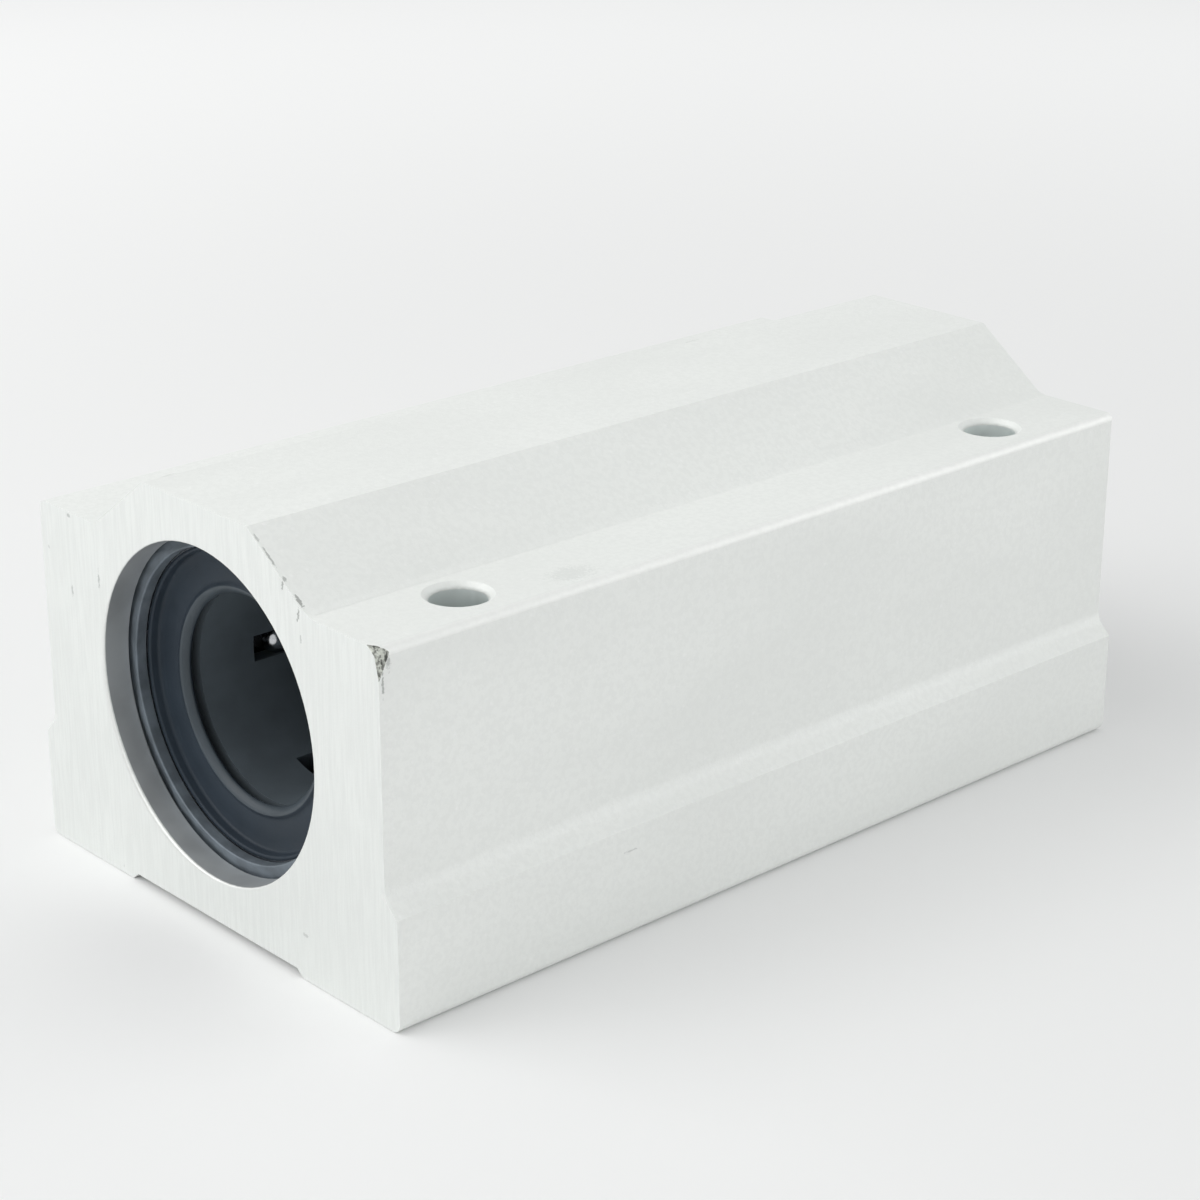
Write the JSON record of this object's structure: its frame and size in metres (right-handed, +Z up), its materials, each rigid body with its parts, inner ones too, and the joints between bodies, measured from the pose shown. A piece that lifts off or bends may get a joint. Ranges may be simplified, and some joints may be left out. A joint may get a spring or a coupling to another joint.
{
  "type": "linear bearing block",
  "caption": "Long rectangular aluminium block with a sealed ball-bushing bore for a round shaft, sloped crest and bolt holes through its shoulders.",
  "frame": {"origin": "middle of the base, under the middle of the bore", "axes": "+Z up from the base; +Y along the bore, towards the rear end; +X across the block"},
  "size_m": [0.054, 0.096, 0.041],
  "materials": {
    "housing_aluminium": "matte silver-white, bead-blasted and anodised, with sawn and deburred ends",
    "turned_aluminium": "bright turned",
    "spring_steel": "dark phosphated spring steel, slightly oily",
    "bearing_steel": "ground bearing steel",
    "ball_steel": "polished hardened steel",
    "cage_plastic": "moulded black plastic",
    "seal_rubber": "moulded black rubber, matte with an oily sheen"
  },
  "bodies": {
    "root": {"housing": "housing_aluminium", "circlips": "spring_steel", "spacer_ring": "turned_aluminium", "shaft_seals": "seal_rubber", "front_outer_sleeve": "bearing_steel", "front_ball_cage": "cage_plastic", "front_ball_circuit_1": "ball_steel", "front_ball_circuit_2": "ball_steel", "front_ball_circuit_3": "ball_steel", "front_ball_circuit_4": "ball_steel", "front_ball_circuit_5": "ball_steel", "rear_outer_sleeve": "bearing_steel", "rear_ball_cage": "cage_plastic", "rear_ball_circuit_1": "ball_steel", "rear_ball_circuit_2": "ball_steel", "rear_ball_circuit_3": "ball_steel", "rear_ball_circuit_4": "ball_steel", "rear_ball_circuit_5": "ball_steel"}
  },
  "joints": []
}
